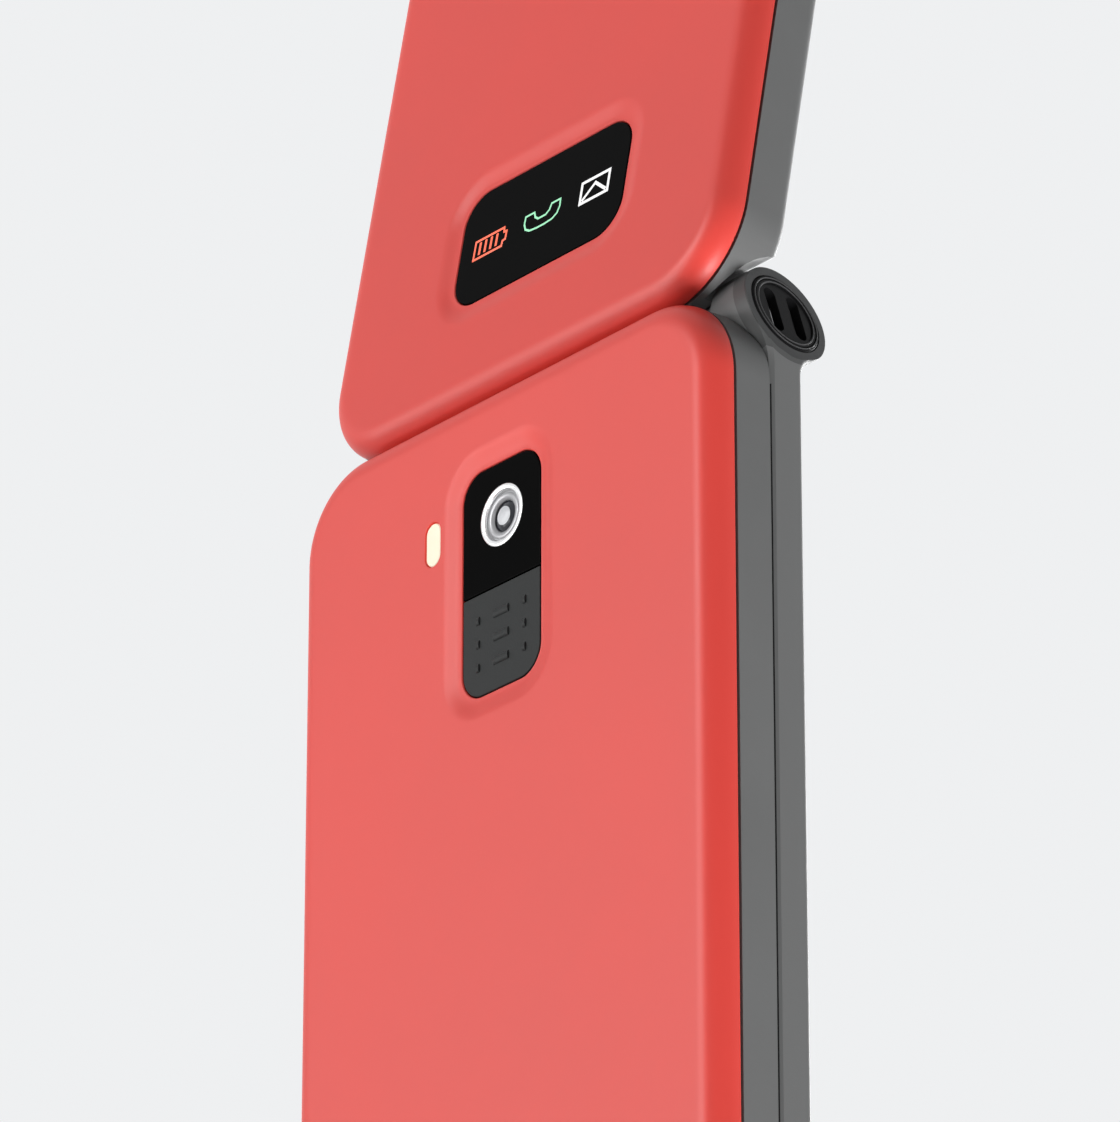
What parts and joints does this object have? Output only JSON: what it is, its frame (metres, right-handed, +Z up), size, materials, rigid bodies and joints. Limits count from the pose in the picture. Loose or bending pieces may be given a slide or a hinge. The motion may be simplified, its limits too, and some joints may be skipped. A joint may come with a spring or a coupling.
{
  "type": "flip phone",
  "caption": "Open clamshell mobile phone with a hinged lid, rear camera and flash, emergency key on the back, lit indicator window, keypad and removable battery cover.",
  "frame": {"origin": "middle of the bottom end of the base, in the plane between the two halves of the phone's width", "axes": "+Z up the base towards the hinge, +Y out of the back of the base, -Y out of the keypad; the open lid goes on upwards and leans 10 degrees forwards, to the keypad side"},
  "size_m": [0.0545, 0.0255, 0.2018],
  "materials": {
    "cover_red": "soft-touch paint with a satin sheen",
    "housing_grey": "fine-grained moulded plastic",
    "cap_dark": "smooth moulded plastic",
    "window_black": "polished, tinted black",
    "key_grey": "smooth moulded plastic",
    "ring_silver": "polished plating",
    "lens_glass": "coated lens",
    "flash_diffuser": "translucent cream",
    "black_plastic": "plain moulded plastic",
    "battery_wrap": "plain wrapped cell",
    "contact_metal": "gold plated",
    "board_green": "solder mask",
    "plated_steel": "tin plated",
    "hinge_steel": "ground",
    "clear_film": "polyester film with metal domes",
    "antenna_film": "amber polyimide film",
    "display_glass": "clear window with a dark printed border",
    "display_panel": "dark panel",
    "lamp_white": "moulded LED",
    "soft_rubber": "soft rubber"
  },
  "bodies": {
    "base": {"rear_housing": "housing_grey", "front_housing": "housing_grey", "hinge_cap_left": "cap_dark", "hinge_cap_right": "cap_dark", "dome_sheet": "clear_film", "main_board": "board_green", "shield_can": "plated_steel", "battery": "battery_wrap", "battery_contacts": "contact_metal", "sim_holder": "plated_steel", "camera_window": "window_black", "camera_ring": "ring_silver", "camera_lens": "lens_glass", "camera_module": "black_plastic", "sos_switch": "black_plastic", "flash_lens": "flash_diffuser", "flash_led": "lamp_white", "usb_port": "plated_steel", "loudspeaker": "black_plastic", "microphone": "plated_steel", "vibration_motor": "plated_steel", "antenna": "antenna_film", "housing_screws": "plated_steel", "hinge_pin": "hinge_steel", "hinge_shaft": "hinge_steel"},
    "battery_cover": {"battery_cover": "cover_red"},
    "lid": {"lid_cover": "cover_red", "lid_frame": "housing_grey", "indicator_window": "window_black", "flex_cable": "antenna_film", "display_window": "display_glass", "display_module": "display_panel", "lid_board": "board_green", "indicator_leds": "lamp_white", "earpiece": "black_plastic", "closing_magnet": "plated_steel", "lid_bumpers": "soft_rubber", "lid_screws": "plated_steel", "hinge_cartridge": "hinge_steel"},
    "key_0": {"key_0": "key_grey"},
    "key_1": {"key_1": "key_grey"},
    "key_2": {"key_2": "key_grey"},
    "key_3": {"key_3": "key_grey"},
    "key_4": {"key_4": "key_grey"},
    "key_5": {"key_5": "key_grey"},
    "key_6": {"key_6": "key_grey"},
    "key_7": {"key_7": "key_grey"},
    "key_8": {"key_8": "key_grey"},
    "key_9": {"key_9": "key_grey"},
    "key_star": {"key_star": "key_grey"},
    "key_hash": {"key_hash": "key_grey"},
    "call_key": {"call_key": "key_grey"},
    "end_key": {"end_key": "key_grey"},
    "soft_key_left": {"soft_key_left": "key_grey"},
    "soft_key_right": {"soft_key_right": "key_grey"},
    "nav_key": {"nav_key": "key_grey"},
    "volume_key": {"volume_key": "key_grey"},
    "sos_key": {"sos_key": "key_grey"},
    "vibration_weight": {"vibration_weight": "plated_steel"}
  },
  "joints": [
    {"name": "lid_hinge", "type": "hinge", "parent": "base", "child": "lid", "pos_m": [0, -0.00427, 0.10144], "axis": [1, 0, 0], "range_deg": [0, 169.95]},
    {"name": "cover_release", "type": "slide", "parent": "base", "child": "battery_cover", "axis": [0, 1, 0], "range_m": [0, 0.012]},
    {"name": "key_0_press", "type": "slide", "parent": "base", "child": "key_0", "axis": [0, 1, 0], "range_m": [0, 0.00035], "stiffness_N_per_m": 3000},
    {"name": "key_1_press", "type": "slide", "parent": "base", "child": "key_1", "axis": [0, 1, 0], "range_m": [0, 0.00035], "stiffness_N_per_m": 3000},
    {"name": "key_2_press", "type": "slide", "parent": "base", "child": "key_2", "axis": [0, 1, 0], "range_m": [0, 0.00035], "stiffness_N_per_m": 3000},
    {"name": "key_3_press", "type": "slide", "parent": "base", "child": "key_3", "axis": [0, 1, 0], "range_m": [0, 0.00035], "stiffness_N_per_m": 3000},
    {"name": "key_4_press", "type": "slide", "parent": "base", "child": "key_4", "axis": [0, 1, 0], "range_m": [0, 0.00035], "stiffness_N_per_m": 3000},
    {"name": "key_5_press", "type": "slide", "parent": "base", "child": "key_5", "axis": [0, 1, 0], "range_m": [0, 0.00035], "stiffness_N_per_m": 3000},
    {"name": "key_6_press", "type": "slide", "parent": "base", "child": "key_6", "axis": [0, 1, 0], "range_m": [0, 0.00035], "stiffness_N_per_m": 3000},
    {"name": "key_7_press", "type": "slide", "parent": "base", "child": "key_7", "axis": [0, 1, 0], "range_m": [0, 0.00035], "stiffness_N_per_m": 3000},
    {"name": "key_8_press", "type": "slide", "parent": "base", "child": "key_8", "axis": [0, 1, 0], "range_m": [0, 0.00035], "stiffness_N_per_m": 3000},
    {"name": "key_9_press", "type": "slide", "parent": "base", "child": "key_9", "axis": [0, 1, 0], "range_m": [0, 0.00035], "stiffness_N_per_m": 3000},
    {"name": "key_star_press", "type": "slide", "parent": "base", "child": "key_star", "axis": [0, 1, 0], "range_m": [0, 0.00035], "stiffness_N_per_m": 3000},
    {"name": "key_hash_press", "type": "slide", "parent": "base", "child": "key_hash", "axis": [0, 1, 0], "range_m": [0, 0.00035], "stiffness_N_per_m": 3000},
    {"name": "call_key_press", "type": "slide", "parent": "base", "child": "call_key", "axis": [0, 1, 0], "range_m": [0, 0.00035], "stiffness_N_per_m": 3000},
    {"name": "end_key_press", "type": "slide", "parent": "base", "child": "end_key", "axis": [0, 1, 0], "range_m": [0, 0.00035], "stiffness_N_per_m": 3000},
    {"name": "soft_key_left_press", "type": "slide", "parent": "base", "child": "soft_key_left", "axis": [0, 1, 0], "range_m": [0, 0.00035], "stiffness_N_per_m": 3000},
    {"name": "soft_key_right_press", "type": "slide", "parent": "base", "child": "soft_key_right", "axis": [0, 1, 0], "range_m": [0, 0.00035], "stiffness_N_per_m": 3000},
    {"name": "sos_key_press", "type": "slide", "parent": "base", "child": "sos_key", "axis": [0, -1, 0], "range_m": [0, 0.0005], "stiffness_N_per_m": 3000},
    {"name": "nav_key_rock", "type": "hinge", "parent": "base", "child": "nav_key", "pos_m": [0, -0.0045, 0.0806], "axis": [1, 0, 0], "range_deg": [-1, 1], "stiffness_Nm_per_rad": 0.5},
    {"name": "volume_key_rock", "type": "hinge", "parent": "base", "child": "volume_key", "pos_m": [0.0258, 0.00043, 0.077], "axis": [0, 1, 0], "range_deg": [-1, 1], "stiffness_Nm_per_rad": 0.3},
    {"name": "weight_spin", "type": "hinge", "parent": "base", "child": "vibration_weight", "pos_m": [0, 0.00005, 0.008], "axis": [1, 0, 0], "continuous": true}
  ]
}
